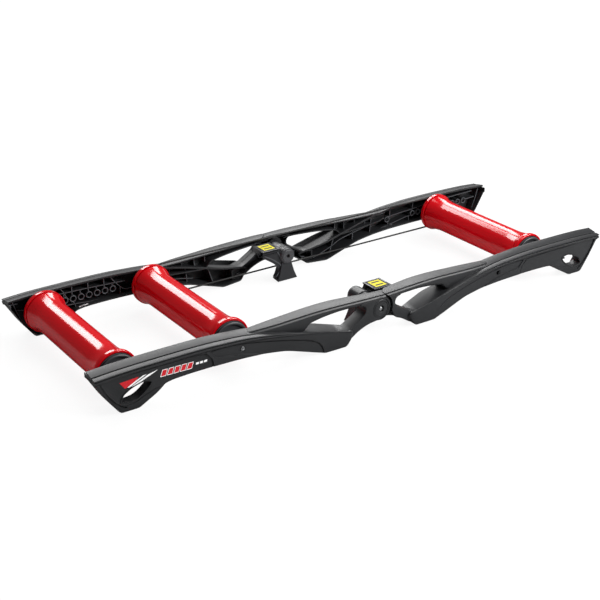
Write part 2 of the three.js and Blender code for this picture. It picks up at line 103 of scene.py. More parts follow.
def studio_floor():
    """Pale matt paint to the light; to the camera a thin film of it, so a folded half shows below."""
    fade_start, fade_end, film_share = 1.4, 3.2, 0.14
    material = bare_material("painted_studio_floor")
    ray = add(material, "ShaderNodeLightPath")
    side = add(material, "ShaderNodeNewGeometry")
    paint = add(material, "ShaderNodeBsdfDiffuse", {"Color": linear("#f0f0f0")})
    dim_paint = add(material, "ShaderNodeBsdfDiffuse", {"Color": linear("#9a9a9a")})
    clear = add(material, "ShaderNodeBsdfTransparent")
    where = add(material, "ShaderNodeTexCoord")
    away = add(material, "ShaderNodeVectorMath", {"operation": "LENGTH"}, {0: (where, "Object")})
    strength = add(material, "ShaderNodeMapRange",
                   {"From Min": fade_start, "From Max": fade_end, "To Min": film_share, "To Max": 0.0},
                   {"Value": (away, "Value")})
    film = mixed(material, (strength, 0), clear, paint)
    upper = mixed(material, (side, "Backfacing"), film, clear)
    mirrored = mixed(material, (ray, "Is Glossy Ray"), paint, dim_paint)
    seen = mixed(material, (ray, "Is Camera Ray"), mirrored, upper)
    passed = mixed(material, (ray, "Is Shadow Ray"), seen, clear)
    add(material, "ShaderNodeOutputMaterial", {}, {"Surface": (passed, 0)})
    return material


FLOOR_DROP = 0.6
bpy.ops.mesh.primitive_plane_add(size=16, location=(0, 0, -FLOOR_DROP * MM))
floor = bpy.context.object
floor.name = "floor"
floor.data.materials.append(studio_floor())
floor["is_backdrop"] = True

world = bpy.data.worlds.new("studio")
bpy.context.scene.world = world
world.use_nodes = True
world.node_tree.nodes.clear()
sky_ray = add(world, "ShaderNodeLightPath")
sky_light = add(world, "ShaderNodeBackground", {"Color": linear("#ffffff"), "Strength": 0.15})
sky_mirrored = add(world, "ShaderNodeBackground", {"Color": linear("#ffffff"), "Strength": 0.11})
sky_seen = add(world, "ShaderNodeBackground", {"Color": linear("#ffffff"), "Strength": 1.05})
unseen = mixed(world, (sky_ray, "Is Glossy Ray"), sky_light, sky_mirrored)
passing = add(world, "ShaderNodeMath", {"operation": "MAXIMUM"},
              {0: (sky_ray, "Is Camera Ray"), 1: (sky_ray, "Is Transmission Ray")})
sky = mixed(world, (passing, 0), unseen, sky_seen)
add(world, "ShaderNodeOutputWorld", {}, {"Surface": (sky, 0)})

# Columns: name, place, the point it looks at, its two sides in metres, watts.
SOFT_BOXES = [
    ("highlight_box", (0.5, 5.6, 4.45), (-0.1, 0, 0.05), (3.1, 2.4), 240),
    ("sheen_box", (3.1, 3.9, 3.3), (0.0, 0, 0.05), (2.0, 1.8), 105),
    ("top_box", (0.5, 0.3, 2.6), (0.1, 0, 0), (2.0, 1.6), 30),
    ("near_box", (1.9, -2.2, 1.9), (0.0, 0, 0.05), (1.9, 1.0), 118),
]
for name, place, target, sides, watts in SOFT_BOXES:
    lamp_data = bpy.data.lights.new(name, "AREA")
    lamp_data.shape = "RECTANGLE"
    lamp_data.size, lamp_data.size_y = sides
    lamp_data.energy = watts
    lamp = bpy.data.objects.new(name, lamp_data)
    lamp.location = place
    lamp.rotation_euler = (Vector(target) - Vector(place)).to_track_quat("-Z", "Y").to_euler()
    bpy.context.collection.objects.link(lamp)

CAMERA_TURN, CAMERA_RISE = math.radians(-34.247), math.radians(24.463)
camera_data = bpy.data.cameras.new("camera")
camera_data.sensor_width = 36
camera_data.lens = 74.007
camera_data.clip_end = 30
camera = bpy.data.objects.new("camera", camera_data)
camera.location = (-1.5174, -2.1476, 1.1927)
look_back = Vector((
    math.sin(CAMERA_TURN) * math.cos(CAMERA_RISE),
    -math.cos(CAMERA_TURN) * math.cos(CAMERA_RISE),
    math.sin(CAMERA_RISE),
))
camera.rotation_mode = "QUATERNION"
camera.rotation_quaternion = (-look_back).to_track_quat("-Z", "Y")
bpy.context.collection.objects.link(camera)
bpy.context.scene.camera = camera
bpy.context.scene.view_settings.view_transform = "Standard"

# Drums: three hollow rolls of red plastic, drawn in at the waist to keep the tyre centred.
# Each is moulded in one piece, 350 mm long with a rounded rim at both ends, and polished.
# They are turned here from one profile, as on a lathe.


def deselect():
    """Leaves edit mode and selects nothing."""
    if bpy.context.object and bpy.context.object.mode != "OBJECT":
        bpy.ops.object.mode_set(mode="OBJECT")
    bpy.ops.object.select_all(action="DESELECT")


def settle(piece, name, smooth=32):
    """Names a finished mesh, puts its place into its vertices and smooths it."""
    deselect()
    piece.select_set(True)
    bpy.context.view_layer.objects.active = piece
    bpy.ops.object.transform_apply(location=True, rotation=True, scale=True)
    piece.name = piece.data.name = name
    if smooth:
        bpy.ops.object.shade_smooth_by_angle(angle=math.radians(smooth))
    return piece


def drawn(points):
    """A line through points in millimetres, drawn one by one and left in edit mode."""
    deselect()
    bpy.ops.mesh.primitive_plane_add(size=MM)
    bpy.ops.object.mode_set(mode="EDIT")
    bpy.ops.mesh.merge(type="CENTER")
    last = Vector(points[0]) * MM
    bpy.ops.transform.translate(value=last)
    for point in points[1:]:
        step = Vector(point) * MM - last
        bpy.ops.mesh.extrude_vertices_move(TRANSFORM_OT_translate={"value": step})
        last = last + step
    return bpy.context.object


def face_outward():
    """Turns all faces of the mesh in edit mode outward and leaves edit mode."""
    bpy.ops.mesh.select_all(action="SELECT")
    bpy.ops.mesh.normals_make_consistent(inside=False)
    bpy.ops.object.mode_set(mode="OBJECT")


def turned(name, profile, x=0.0, z=0.0, steps=96, smooth=32):
    """A closed profile of (radius, y) spun round the line through x and z along Y."""
    piece = drawn([(x + radius, y, z) for radius, y in profile + profile[:1]])
    bpy.ops.mesh.select_all(action="SELECT")
    bpy.ops.mesh.remove_doubles(threshold=1e-7)
    bpy.ops.mesh.spin(steps=steps, angle=math.tau, center=Vector((x, 0, z)) * MM, axis=(0, 1, 0))
    bpy.ops.mesh.select_all(action="SELECT")
    bpy.ops.mesh.remove_doubles(threshold=1e-6)
    face_outward()
    return settle(piece, name, smooth=smooth)


def plastic(name, colour, worn, roughness, grain, bump):
    """Moulded plastic: a fine grain in millimetres, and faint clouds of a paler, duller shade."""
    material = bare_material(name)
    where = add(material, "ShaderNodeTexCoord")
    cloud = add(material, "ShaderNodeTexNoise", {"Scale": 14, "Detail": 3}, {"Vector": (where, "Object")})
    fine = add(material, "ShaderNodeTexNoise", {"Scale": 1000 / grain, "Detail": 2},
               {"Vector": (where, "Object")})
    shade = add(material, "ShaderNodeMix", {"data_type": "RGBA"}, {"Factor": (cloud, "Fac")})
    shade.inputs[6].default_value = linear(colour)
    shade.inputs[7].default_value = linear(worn)
    matt = add(material, "ShaderNodeMapRange", {"To Min": roughness * 0.88, "To Max": roughness * 1.14},
               {"Value": (cloud, "Fac")})
    raised = add(material, "ShaderNodeBump", {"Strength": bump, "Distance": 0.0002},
                 {"Height": (fine, "Fac")})
    surface = add(material, "ShaderNodeBsdfPrincipled", {"IOR": 1.5},
                  {"Base Color": (shade, 2), "Roughness": (matt, 0), "Normal": (raised, 0)})
    add(material, "ShaderNodeOutputMaterial", {}, {"Surface": (surface, 0)})
    return material


red_polish = plastic("polished_red_abs", "#cc0210", "#d40414", 0.13, 3.0, 0.002)
AXLE_Z, MIDDLE_SOCKET, FIRST_SOCKET, SOCKET_PITCH = 62.0, 349.988, 433.485, 19.5
SOCKETS = [FIRST_SOCKET + SOCKET_PITCH * step for step in range(10)]
DRUM_X = {"rear": -SOCKETS[9], "middle": -MIDDLE_SOCKET, "front": SOCKETS[3]}
WAIST, RIM, DRUM_HALF, DRUM_WALL = 39.4, 47.5, 175.0, 3.6
RIM_WIDTH, RIM_ROUND, FLARE = 13.0, 2.4, 44.0


def drum_profile():
    """The flare, the groove behind the rim, the rounded rim and the bore, on both sides of the middle."""
    half = []
    for step in range(13):
        share = step / 12
        radius = WAIST + (RIM - WAIST - 2.6) * share ** 1.9
        half.append((radius, DRUM_HALF - RIM_WIDTH - FLARE * (1 - share)))
    half += [(RIM - 2.9, DRUM_HALF - 12.2), (RIM - 5.6, DRUM_HALF - 11.8), (RIM - 5.8, DRUM_HALF - 10.0),
             (RIM - 1.0, DRUM_HALF - 9.6), (RIM - 0.2, DRUM_HALF - 8.9)]
    for step in range(7):
        angle = step / 6 * math.pi / 2
        half.append((RIM - RIM_ROUND * (1 - math.cos(angle)), DRUM_HALF - RIM_ROUND * (1 - math.sin(angle))))
    inner = WAIST - DRUM_WALL
    half += [(RIM - 4.4, DRUM_HALF), (RIM - 5.0, DRUM_HALF - 0.6), (RIM - 5.2, DRUM_HALF - 7.5),
             (inner + 0.4, DRUM_HALF - 8.5), (inner, DRUM_HALF - 10)]
    return [(radius, -y) for radius, y in reversed(half)] + half


for which, x in DRUM_X.items():
    drum = turned(f"{which}_red_drum", drum_profile(), x, AXLE_Z, steps=160)
    drum.data.materials.append(red_polish)
    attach(drum, f"{which}_roller")
    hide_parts(f"{which}_drum")

# Drum ends: a grey pulley cap is pressed into each end of a drum, with a belt groove round it.
# The caps are moulded nylon and carry sealed steel bearings, which turn on 10 mm steel axles.
# Short nylon spacers hold the drum clear of the rails, and two bolts fix the middle axle.
cap_nylon = plastic("grey_moulded_nylon", "#3b3c3f", "#46474a", 0.42, 0.9, 0.12)
FRAME_OF = {"rear": "rear_frame", "middle": "rear_frame", "front": "front_frame"}
PLUG, CAP_BACK, CAP_IN, CAP_OUT = 35.2, 163.0, 175.3, 182.1
GROOVE_FLOOR, FLANGE, CAP_HUB, CAP_SEAT, BEARING = 37.3, 40.6, 18.0, 173.8, 13.0


def brushed_steel(name, colour, roughness, scratch):
    """Steel turned or drawn: fine rings from the tool, seen as thin streaks of brightness."""
    material = bare_material(name)
    where = add(material, "ShaderNodeTexCoord")
    rings = add(material, "ShaderNodeTexNoise", {"Scale": scratch, "Detail": 4},
                {"Vector": (where, "Object")})
    matt = add(material, "ShaderNodeMapRange", {"To Min": roughness - 0.08, "To Max": roughness + 0.12},
               {"Value": (rings, "Fac")})
    surface = add(material, "ShaderNodeBsdfPrincipled", {"Base Color": linear(colour), "Metallic": 1.0},
                  {"Roughness": (matt, 0)})
    add(material, "ShaderNodeOutputMaterial", {}, {"Surface": (surface, 0)})
    return material


steel = brushed_steel("zinc_plated_steel", "#d3d4d6", 0.3, 900)


def flipped(profile, side):
    """A profile of (radius, y) for the left side, 1, or for the right, -1."""
    return [(radius, y * side) for radius, y in profile]


def dressed(piece, body, node, slot, *materials):
    """Gives a finished piece its materials and its body, and hides the CAD node it stands for; the slot is
    not used.
    """
    for material in materials:
        piece.data.materials.append(material)
    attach(piece, body)
    if node:
        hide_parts(node)
    return piece


CAP_PROFILE = [
    (BEARING + 0.3, CAP_OUT - 0.5), (BEARING + 0.8, CAP_OUT), (CAP_HUB - 0.6, CAP_OUT),
    (CAP_HUB, CAP_OUT - 0.6), (CAP_HUB + 1.4, CAP_OUT - 3.4), (CAP_HUB + 2.2, CAP_OUT - 3.7),
    (33.4, CAP_OUT - 3.7), (34.4, CAP_OUT - 3.2), (35.6, CAP_OUT - 0.3), (36.2, CAP_OUT),
    (FLANGE - 1.2, CAP_OUT), (FLANGE, CAP_OUT - 0.9), (FLANGE, CAP_OUT - 1.3),
    (GROOVE_FLOOR + 0.5, CAP_OUT - 1.9), (GROOVE_FLOOR, CAP_OUT - 2.5), (GROOVE_FLOOR, CAP_IN + 2.2),
    (GROOVE_FLOOR + 0.5, CAP_IN + 1.7), (FLANGE + 1.2, CAP_IN + 1.2), (FLANGE + 1.4, CAP_IN + 0.9),
    (FLANGE + 1.0, CAP_IN - 0.2), (PLUG, CAP_IN - 4.0), (PLUG, CAP_BACK), (8.0, CAP_BACK),
    (8.0, CAP_SEAT), (BEARING + 0.3, CAP_SEAT),
]
BEARING_PROFILE = [
    (5.15, 174.1), (5.15, 182.0), (5.5, CAP_OUT), (7.0, CAP_OUT), (7.3, 181.7), (10.9, 181.7),
    (11.2, CAP_OUT), (12.6, CAP_OUT), (BEARING, 181.7), (BEARING, 174.1),
]
SPACER_PROFILE = [(5.05, 182.4), (5.05, 194.7), (7.6, 194.7), (8.0, 194.3), (8.0, 182.8), (7.6, 182.4)]
AXLE_REACH = {"rear": 208.0, "middle": 222.9, "front": 208.0}


def rod(name, radius, y0, y1, x, z, chamfer=0.5, steps=48):
    """A round bar along Y with chamfered ends."""
    return turned(name, [(0, y0), (radius - chamfer, y0), (radius, y0 + chamfer), (radius, y1 - chamfer),
                         (radius - chamfer, y1), (0, y1)], x, z, steps)


for which, x in DRUM_X.items():
    body, roller = FRAME_OF[which], f"{which}_roller"
    for hand, side in (("left", 1), ("right", -1)):
        cap = turned(f"{which}_{hand}_pulley_cap", flipped(CAP_PROFILE, side), x, AXLE_Z)
        dressed(cap, roller, f"{which}_drum_cap_{hand}", "cap_plastic", cap_nylon)
        bearing = turned(f"{which}_{hand}_sealed_bearing", flipped(BEARING_PROFILE, side), x, AXLE_Z, 48)
        dressed(bearing, roller, f"{which}_bearing_{hand}", "steel", steel)
        spacer = turned(f"{which}_{hand}_axle_spacer", flipped(SPACER_PROFILE, side), x, AXLE_Z, 40)
        dressed(spacer, body, f"{which}_spacer_{hand}", "cap_plastic", cap_nylon)
    axle = rod(f"{which}_steel_axle", 5.0, -AXLE_REACH[which], AXLE_REACH[which], x, AXLE_Z)
    dressed(axle, body, f"{which}_axle", "steel", steel)

BOLT_PROFILE = [
    (0, 209.5), (3.0, 209.5), (3.0, 223.5), (4.6, 223.5), (4.6, 225.2), (4.2, 226.2), (3.8, 226.6),
    (3.0, 226.6), (2.7, 226.0), (2.6, 222.5), (0, 222.0),
]
for hand, side in (("left", 1), ("right", -1)):
    bolt = turned(f"middle_{hand}_axle_bolt", flipped(BOLT_PROFILE, side), DRUM_X["middle"], AXLE_Z, 48)
    dressed(bolt, "rear_frame", f"middle_axle_bolt_{hand}", "steel", steel)

# Half rails: four mouldings of black glass-filled nylon, each an open channel with ribs inside.
# An arch and a neck rise from the limb to the hinge, and eleven sockets take a drum's axle.
# All four are drawn as one quarter, u being the distance from the hinge, and then mirrored.
black_nylon = plastic("satin_black_nylon", "#1f2022", "#292a2c", 0.42, 0.7, 0.18)
WEB, LIP, CAP_EDGE, WALL, SKIN, CAP_THICK = 227.0, 4.0, 183.0, 3.2, 5.2, 5.0
# Columns: distance u, top, underside, the cap's share of its depth, the face's bulge, the edge's set-in.
BEAM = [
    (675, 89.3, 79.7, 1.0, 0.0, 10.0), (650, 91.0, 37, 1.0, 0.0, 10.0), (624, 92.5, 0, 1.0, 0.0, 10.0),
    (585.9, 93.5, 0, 1.0, 0.0, 10.0), (549, 93.8, 21.0, 1.0, 0.0, 10.0),
    (529, 94.0, 36.3, 1.0, 0.0, 10.0), (510, 94.0, 39.5, 1.0, 0.0, 10.0),
    (470, 94.0, 41.0, 1.0, 0.0, 10.0), (425.3, 93.1, 41.0, 1.0, 0.0, 10.0),
    (350.3, 88.4, 39.0, 0.95, 0.0, 10.0), (299.7, 81.6, 36.0, 0.8, 1.2, 8.0),
    (245, 71.3, 29.0, 0.55, 5.0, 5.0), (151, 51.5, 0, 0.25, 12.5, 0.9), (95, 37.5, 0, 0.25, 12.5, 11.0),
    (77, 33.0, 24.0, 0.25, 12.5, 17.0),
]
# Columns: distance u, top, underside, outer face, inner edge.
ARCH = [
    (342, 86.0, 66.0, 206.0, 199.0), (334, 87.5, 63.0, 215.5, 193.0), (270, 90.0, 59.1, 222.1, 189.0),
    (195, 93.2, 55.2, 223.8, 187.0), (184, 93.9, 71.0, 224.3, 187.0), (150, 94.9, 77.8, 225.4, 187.0),
    (110, 95.2, 82.0, 227.4, 188.0), (50, 94.8, 82.2, 231.0, 197.0), (27, 94.4, 77.8, 231.7, 201.0),
    (0, 93.8, 72.9, 231.7, 204.0), (-34, 92.8, 72.9, 231.7, 204.0),
]


def reading(table, u, column):
    """A table's value at a distance, between its two nearest rows."""
    for far, near in zip(table, table[1:]):
        if near[0] <= u <= far[0]:
            share = (u - near[0]) / (far[0] - near[0])
            return near[column] + (far[column] - near[column]) * share
    return table[0][column] if u > table[0][0] else table[-1][column]


def eased(table, u, column, reach):
    """The mean of the readings within reach, which rounds the table's corners."""
    steps = range(-4, 5)
    return sum(reading(table, u + reach * step / 4, column) for step in steps) / len(steps)


def rounded(corners, bends=3):
    """Points (a, b) round a closed outline of corners (a, b, radius), each corner bent in equal steps."""
    points = []
    for i, (a, b, radius) in enumerate(corners):
        ends = []
        for other in (corners[i - 1], corners[(i + 1) % len(corners)]):
            run = math.hypot(other[0] - a, other[1] - b)
            share = min(radius / run, 0.45) if run else 0
            ends.append((a + (other[0] - a) * share, b + (other[1] - b) * share))
        for step in range(bends + 1):
            t = step / bends
            points.append(tuple((1 - t) ** 2 * ends[0][k] + 2 * t * (1 - t) * (a, b)[k] + t * t * ends[1][k]
                                for k in (0, 1)))
    return points


def beam_loop(u):
    """The channel's section at u: face, stepped and grooved cap, edge, and back along the inside."""
    reach = 4 if u > 500 or u < 165 else 12
    ease = 1 - math.sqrt(max(0, 1 - max(0, (87 - u) / 10.1) ** 2))
    top = eased(BEAM, u, 1, reach) - 3.5 * ease
    under = max(0, eased(BEAM, u, 2, reach))
    cap = eased(BEAM, u, 3, 30)
    face = WEB + eased(BEAM, u, 4, 30) - 7.5 * ease
    edge = CAP_EDGE + eased(BEAM, u, 5, 12)
    foot_edge = edge - 8 * cap
    lip = face + LIP * cap
    inner = top + 4.2 * cap - 7.0 * max(0, 0.6 - cap)
    valley = 32 * max(0, 0.6 - cap) * min(1, max(0, (u - 84) / 20))
    band, bar = lip - 14.3 * cap, lip - 11.6 * cap
    dip = top - 0.1 * cap - valley
    groove = dip - 4.6 * cap

    def side(out, down, radius):
        """A corner on the cap's outer side, its steps as deep as the cap's share there."""
        return out, top - down * cap, radius

    corners = [
        (face, under, 3.0), side(face, 14.4, 0.2), side(face - 1.6 * cap, 14.2, 0.2),
        side(face - 1.6 * cap, 12.4, 0.2), side(face, 12.2, 0.2), side(lip, 11.6, 0.8 * cap),
        side(lip, 7.2, 0.6 * cap), side(lip - 3.2 * cap, 6.9, 0.2), side(lip - 3.2 * cap, 4.5, 0.2),
        side(lip, 4.3, 0.2), side(lip, 2.4, 1.5), side(bar, 0.9, 0.5 * cap),
        (bar - 0.2, groove, 0.2), (band - 0.6, groove, 0.2), (band - 0.8, dip, 0.6 * cap),
        (edge, inner, 2.0), (edge, inner - CAP_THICK, 0.8),
        (band - 2.6, groove - 2.0, 1.0), (face - SKIN, groove - 4.5, 2.0),
        (face - SKIN, under + WALL, 2.0), (foot_edge, under + WALL, 0.8), (foot_edge, under, 1.5),
    ]
    return [(u, y, z) for y, z in rounded(corners)]


def arch_loop(u):
    """The arch's section at u, a smaller channel that ends in a rounded nose."""
    reach = 6 if 170 < u < 215 else 14
    nose = 1 - math.sqrt(max(0, 1 - max(0, (u - 322) / 20.1) ** 2))
    top = eased(ARCH, u, 1, reach) - 4 * nose
    under = eased(ARCH, u, 2, reach) + 4 * nose
    face, edge = eased(ARCH, u, 3, reach), eased(ARCH, u, 4, reach)
    face, edge = face - (face - edge) * 0.3 * nose, edge + (face - edge) * 0.3 * nose
    corners = [
        (face - 2.6, under, 0.8), (face - 0.4, under + 3.4, 2.0), (face, top - 5.2, 2.0),
        (face - 2.8, top - 1.8, 0.8), (face - 3.1, top - 4.0, 0.2), (face - 5.5, top - 4.0, 0.2),
        (face - 5.8, top - 0.6, 0.6), (edge, top, 2.2), (edge, top - WALL, 0.8),
        (face - 9.0, top - WALL - 1.0, 1.0), (face - 8.0, top - 7.2, 0.8), (face - SKIN, top - 9.0, 1.5),
        (face - SKIN, under + WALL, 1.5), (edge, under + WALL, 0.8), (edge, under, 1.4),
    ]
    return [(u, y, z) for y, z in rounded(corners)]


def lofted(name, loops):
    """A skin over equal rings of points, one at each station, closed round and filled at both ends."""
    deselect()
    count = len(loops[0])
    bpy.ops.mesh.primitive_grid_add(x_subdivisions=count, y_subdivisions=len(loops) - 1)
    piece = bpy.context.object
    for row, loop in enumerate(loops):
        for i in range(count + 1):
            piece.data.vertices[row * (count + 1) + i].co = Vector(loop[i % count]) * MM
    bpy.ops.object.mode_set(mode="EDIT")
    bpy.ops.mesh.select_all(action="SELECT")
    bpy.ops.mesh.remove_doubles(threshold=1e-6)
    bpy.ops.mesh.select_all(action="DESELECT")
    bpy.ops.mesh.select_non_manifold()
    bpy.ops.mesh.fill_holes(sides=0)
    face_outward()
    piece.name = name
    return piece


def slab(name, points, y0, y1, bevel=0.0):
    """An outline of (x, z) filled and drawn out along Y, its outer edges bevelled."""
    piece = drawn([(x, y0, z) for x, z in points])
    bpy.ops.mesh.select_all(action="SELECT")
    bpy.ops.mesh.edge_face_add()
    bpy.ops.mesh.extrude_region_move(TRANSFORM_OT_translate={"value": (0, (y1 - y0) * MM, 0)})
    if bevel:
        bpy.ops.mesh.bevel(offset=bevel * MM, segments=2, affect="EDGES")
    face_outward()
    piece.name = name
    return piece


def ribbon(points, y0, y1, thickness=1.7):
    """A rib: a line of (x, z) drawn out along Y and thickened to both sides."""
    piece = drawn([(x, y0, z) for x, z in points])
    bpy.ops.mesh.select_all(action="SELECT")
    bpy.ops.mesh.extrude_edges_move(TRANSFORM_OT_translate={"value": (0, (y1 - y0) * MM, 0)})
    bpy.ops.object.mode_set(mode="OBJECT")
    shell = piece.modifiers.new("thickness", "SOLIDIFY")
    shell.thickness, shell.offset = thickness * MM, 0
    bpy.ops.object.modifier_apply(modifier=shell.name)
    return piece


def combined(piece, tool, operation="DIFFERENCE", keep=False):
    """Applies a boolean of one solid on another; the tool goes unless it is kept."""
    deselect()
    piece.select_set(True)
    bpy.context.view_layer.objects.active = piece
    step = piece.modifiers.new("boolean", "BOOLEAN")
    step.operation, step.solver, step.object = operation, "MANIFOLD", tool
    bpy.ops.object.modifier_apply(modifier=step.name)
    if not keep:
        bpy.data.objects.remove(tool)
    return piece


def copied(piece):
    """A copy with a mesh of its own."""
    other = piece.copy()
    other.data = piece.data.copy()
    bpy.context.collection.objects.link(other)
    return other


def curved(points, steps=5):
    """A smooth line through the given points."""
    ends = [points[0]] + points + [points[-1]]
    line = []
    for a, b, c, d in zip(ends, ends[1:], ends[2:], ends[3:]):
        for step in range(steps):
            t = step / steps
            line.append(tuple(0.5 * (2 * b[k] + (c[k] - a[k]) * t
                                     + (2 * a[k] - 5 * b[k] + 4 * c[k] - d[k]) * t * t
                                     + (3 * b[k] - a[k] - 3 * c[k] + d[k]) * t ** 3) for k in (0, 1)))
    return line + [points[-1]]


def joined(pieces, name):
    """One object of all the pieces."""
    deselect()
    for piece in pieces:
        piece.select_set(True)
    bpy.context.view_layer.objects.active = pieces[0]
    bpy.ops.object.join()
    bpy.context.object.name = name
    return bpy.context.object


def stations(far, near, pitch):
    """Distances from far on, about a pitch apart, that stop one step before near."""
    count = max(1, round((far - near) / pitch))
    return [far - (far - near) * step / count for step in range(count)]


beam_stops = stations(675, 505, 4) + stations(505, 190, 12) + stations(190, 87, 4)
beam_stops += [87, 84.5, 82, 80, 78.5, 77.5, 77.1]
arch_stops = [341.9, 341, 339, 336, 332, 327] + stations(322, 215, 10) + stations(215, 170, 5)
arch_stops += stations(170, 0, 10) + stations(0, -32, 8) + [-32]
beam_shell = lofted("beam", [beam_loop(u) for u in beam_stops])
arch_shell = lofted("arch", [arch_loop(u) for u in arch_stops])
core_stops = stations(675, 545, 10) + stations(545, 505, 4) + stations(505, 96, 10) + [95.5]
CORE_EDGE = 150


def limb_face(u):
    """How far out the beam's face lies, which bulges along the limb."""
    return WEB + eased(BEAM, u, 4, 30)


def core_top(u):
    """The cap's underside at its inner edge, where the upright ribs end."""
    cap = eased(BEAM, u, 3, 30)
    return eased(BEAM, u, 1, 7) + 4.2 * cap - 7.0 * max(0, 0.6 - cap) - 3.0 - 8.0 * max(0, 0.6 - cap)


def core_ring(u, face, under, outer_top, inner_top):
    """A section of the room that ribs may fill, from inside the walls to past the open side."""
    return [(u, face, under), (u, face, outer_top), (u, CORE_EDGE, inner_top), (u, CORE_EDGE, under)]


beam_core = lofted("beam_core", [
    core_ring(u, limb_face(u) - 2.8, max(0, eased(BEAM, u, 2, 7)) + 1.5, core_top(u) - 6.0, core_top(u))
    for u in core_stops])
arch_core = lofted("arch_core", [
    core_ring(u, eased(ARCH, u, 3, 10) - 2.6, eased(ARCH, u, 2, 8) + 1.5,
              eased(ARCH, u, 1, 8) - 7.0, eased(ARCH, u, 1, 8) - 1.6)
    for u in stations(322, 20, 8) + [20]])

# Necks: a hollow plate runs from each arch's crown down to the inner foot, beside the window.
# It is moulded in one with the rail, and stands a little further out than the beam's face.
NECK = [
    (0, 38.0, 2), (0, 87, 1), (48.8, 87, 1), (57, 83.0, 4), (43, 79.6, 9), (38.6, 68, 10),
    (45.1, 58.0, 9), (83, 35.2, 5), (118, 29.6, 2), (118, 5.9, 2), (94, 3.6, 5), (76, 13.5, 12),
    (58.6, 25.2, 12), (32.9, 34.4, 10),
]
NECK_FACE, NECK_EDGE = 232.0, 200.0


def inset_corners(corners, distance):
    """Moves each corner of an outline that runs clockwise in (x, z) inward by the wall."""
    moved = []
    for i, (a, b, radius) in enumerate(corners):
        sides = []
        for p, q in ((corners[i - 1], corners[i]), (corners[i], corners[(i + 1) % len(corners)])):
            run = math.hypot(q[0] - p[0], q[1] - p[1])
            sides.append(((q[1] - p[1]) / run, -(q[0] - p[0]) / run))
        lean = 1 + sides[0][0] * sides[1][0] + sides[0][1] * sides[1][1]
        moved.append((a + (sides[0][0] + sides[1][0]) * distance / lean,
                      b + (sides[0][1] + sides[1][1]) * distance / lean, max(0.5, radius - distance)))
    return moved


neck_shell = slab("neck", rounded(NECK), NECK_EDGE, NECK_FACE, 0.9)
neck_hollow = slab("hollow", rounded(inset_corners(NECK, WALL)), NECK_EDGE - 20, NECK_FACE - WALL)
neck_core = slab("neck_core", rounded(inset_corners(NECK, WALL / 2)), NECK_EDGE - 20, NECK_FACE - WALL / 2)
combined(neck_shell, neck_hollow)

# Ribs inside the rail: thin upright walls whose inner edges carry a painted highlight, laid out as on the
# moulding.
# The rear halves have short uprights over the sockets and two long ribs beside them.
# The front halves have long curved ribs crossed by leaning uprights.
RIB_EDGE, ARCH_RIB_EDGE, NECK_RIB_EDGE, RIB_END = 199.0, 204.0, 209.0, 245.0
rear_ribs = [
    curved([(575, 82), (554, 79), (520, 78), (488, 77), (448, 75), (400, 73)]),
    curved([(560, 49), (526, 47), (489, 44), (450, 43), (414, 41), (382, 38), (300, 33)]),
    curved([(560, 95), (550, 80), (543, 65), (526, 47), (526, 20)]),
    curved([(440, 98), (431, 82), (414, 62), (402, 53), (387, 52), (340, 50), (280, 46), (225, 36)]),
    [(490, 45), (490, 20)], [(450, 44), (450, 20)], [(414, 62), (414, 15)],
    [(667, 99), (657, 66), (640, 20)], [(672, 82), (652, 81)],
    curved([(655, 66), (632, 62), (600, 61), (560, 63)]),
    [(MIDDLE_SOCKET, AXLE_Z + 7), (MIDDLE_SOCKET, 98)], [(MIDDLE_SOCKET, AXLE_Z - 7), (MIDDLE_SOCKET, 20)],
]
for index, u in enumerate(SOCKETS):
    rear_ribs.append([(u, AXLE_Z + 7), (u, 98 if index % 2 else 76)])
front_ribs = [
    curved([(380, 36), (358, 45), (297, 33), (238, 23), (200, 14)][::-1]),
    curved([(120, 8), (142, 14), (175, 26), (200, 38), (237, 47), (269, 53), (297, 58), (351, 67),
            (386, 70), (427, 72), (480, 76), (560, 80), (640, 82)]),
    curved([(340, 41), (358, 45), (387, 50), (418, 55), (470, 58), (560, 60), (650, 64)]),
    curved([(350, 39), (387, 42), (425, 42), (458, 44), (520, 46), (570, 47)]),
    [(362, 98), (361, 68), (352, 60), (356, 48), (356, 20)],
    [(439, 98), (434, 65), (424, 53), (424, 30)],
    [(543, 98), (540, 60), (530, 20)], [(500, 98), (500, 25)], [(667, 99), (657, 66), (640, 20)],
]
limb_ribs = [
    [(208, 100), (202, 83), (195, 71), (187, 58), (179, 37), (165, -5)],
    [(256, 100), (254, 85), (245, 69), (242, 46), (239, 0)],
    [(301, 100), (301, 79), (299, 59), (296, 34), (296, 10)],
    curved([(110, 34), (128, 40), (159, 49), (187, 58), (209, 62), (244, 69), (276, 75), (316, 79),
            (345, 81)]),
]
arch_ribs = [[(u + 1, 110), (u - 3, 50)] for u in (286, 252, 219, 190, 148, 118, 88)]
neck_ribs = [
    curved([(100, 12), (67, 19), (32, 35), (19, 38), (3, 33)]), [(40, 52), (22, 20)],
    curved([(90, 26), (60, 38), (34, 56), (22, 70)]), [(22, 70), (30, 100)],
]
# A paler copy of the black nylon: a painted highlight on edges that face the middle of the frame.
edge_highlight_nylon = plastic("nylon_painted_edge_highlight", "#4a4c50", "#5c5e62", 0.42, 0.7, 0.1)


def paint_edge_highlight(piece, y=0):
    """Paints a highlight, a paler copy of the black nylon, on the faces that look to the middle of the
    frame, at y or before it.
    """
    piece.data.materials.clear()
    for material in (black_nylon, edge_highlight_nylon):
        piece.data.materials.append(material)
    for face in piece.data.polygons:
        face.material_index = int(face.center.y < y * MM)
    return piece


def clipped(lines, core, inner):
    """Ribs along the lines, from their inner edge out, cut to the room inside a channel."""
    ribs = [combined(ribbon(line, inner, RIB_END), core, "INTERSECT", keep=True) for line in lines]
    return [paint_edge_highlight(rib, inner + 0.3) for rib in ribs]


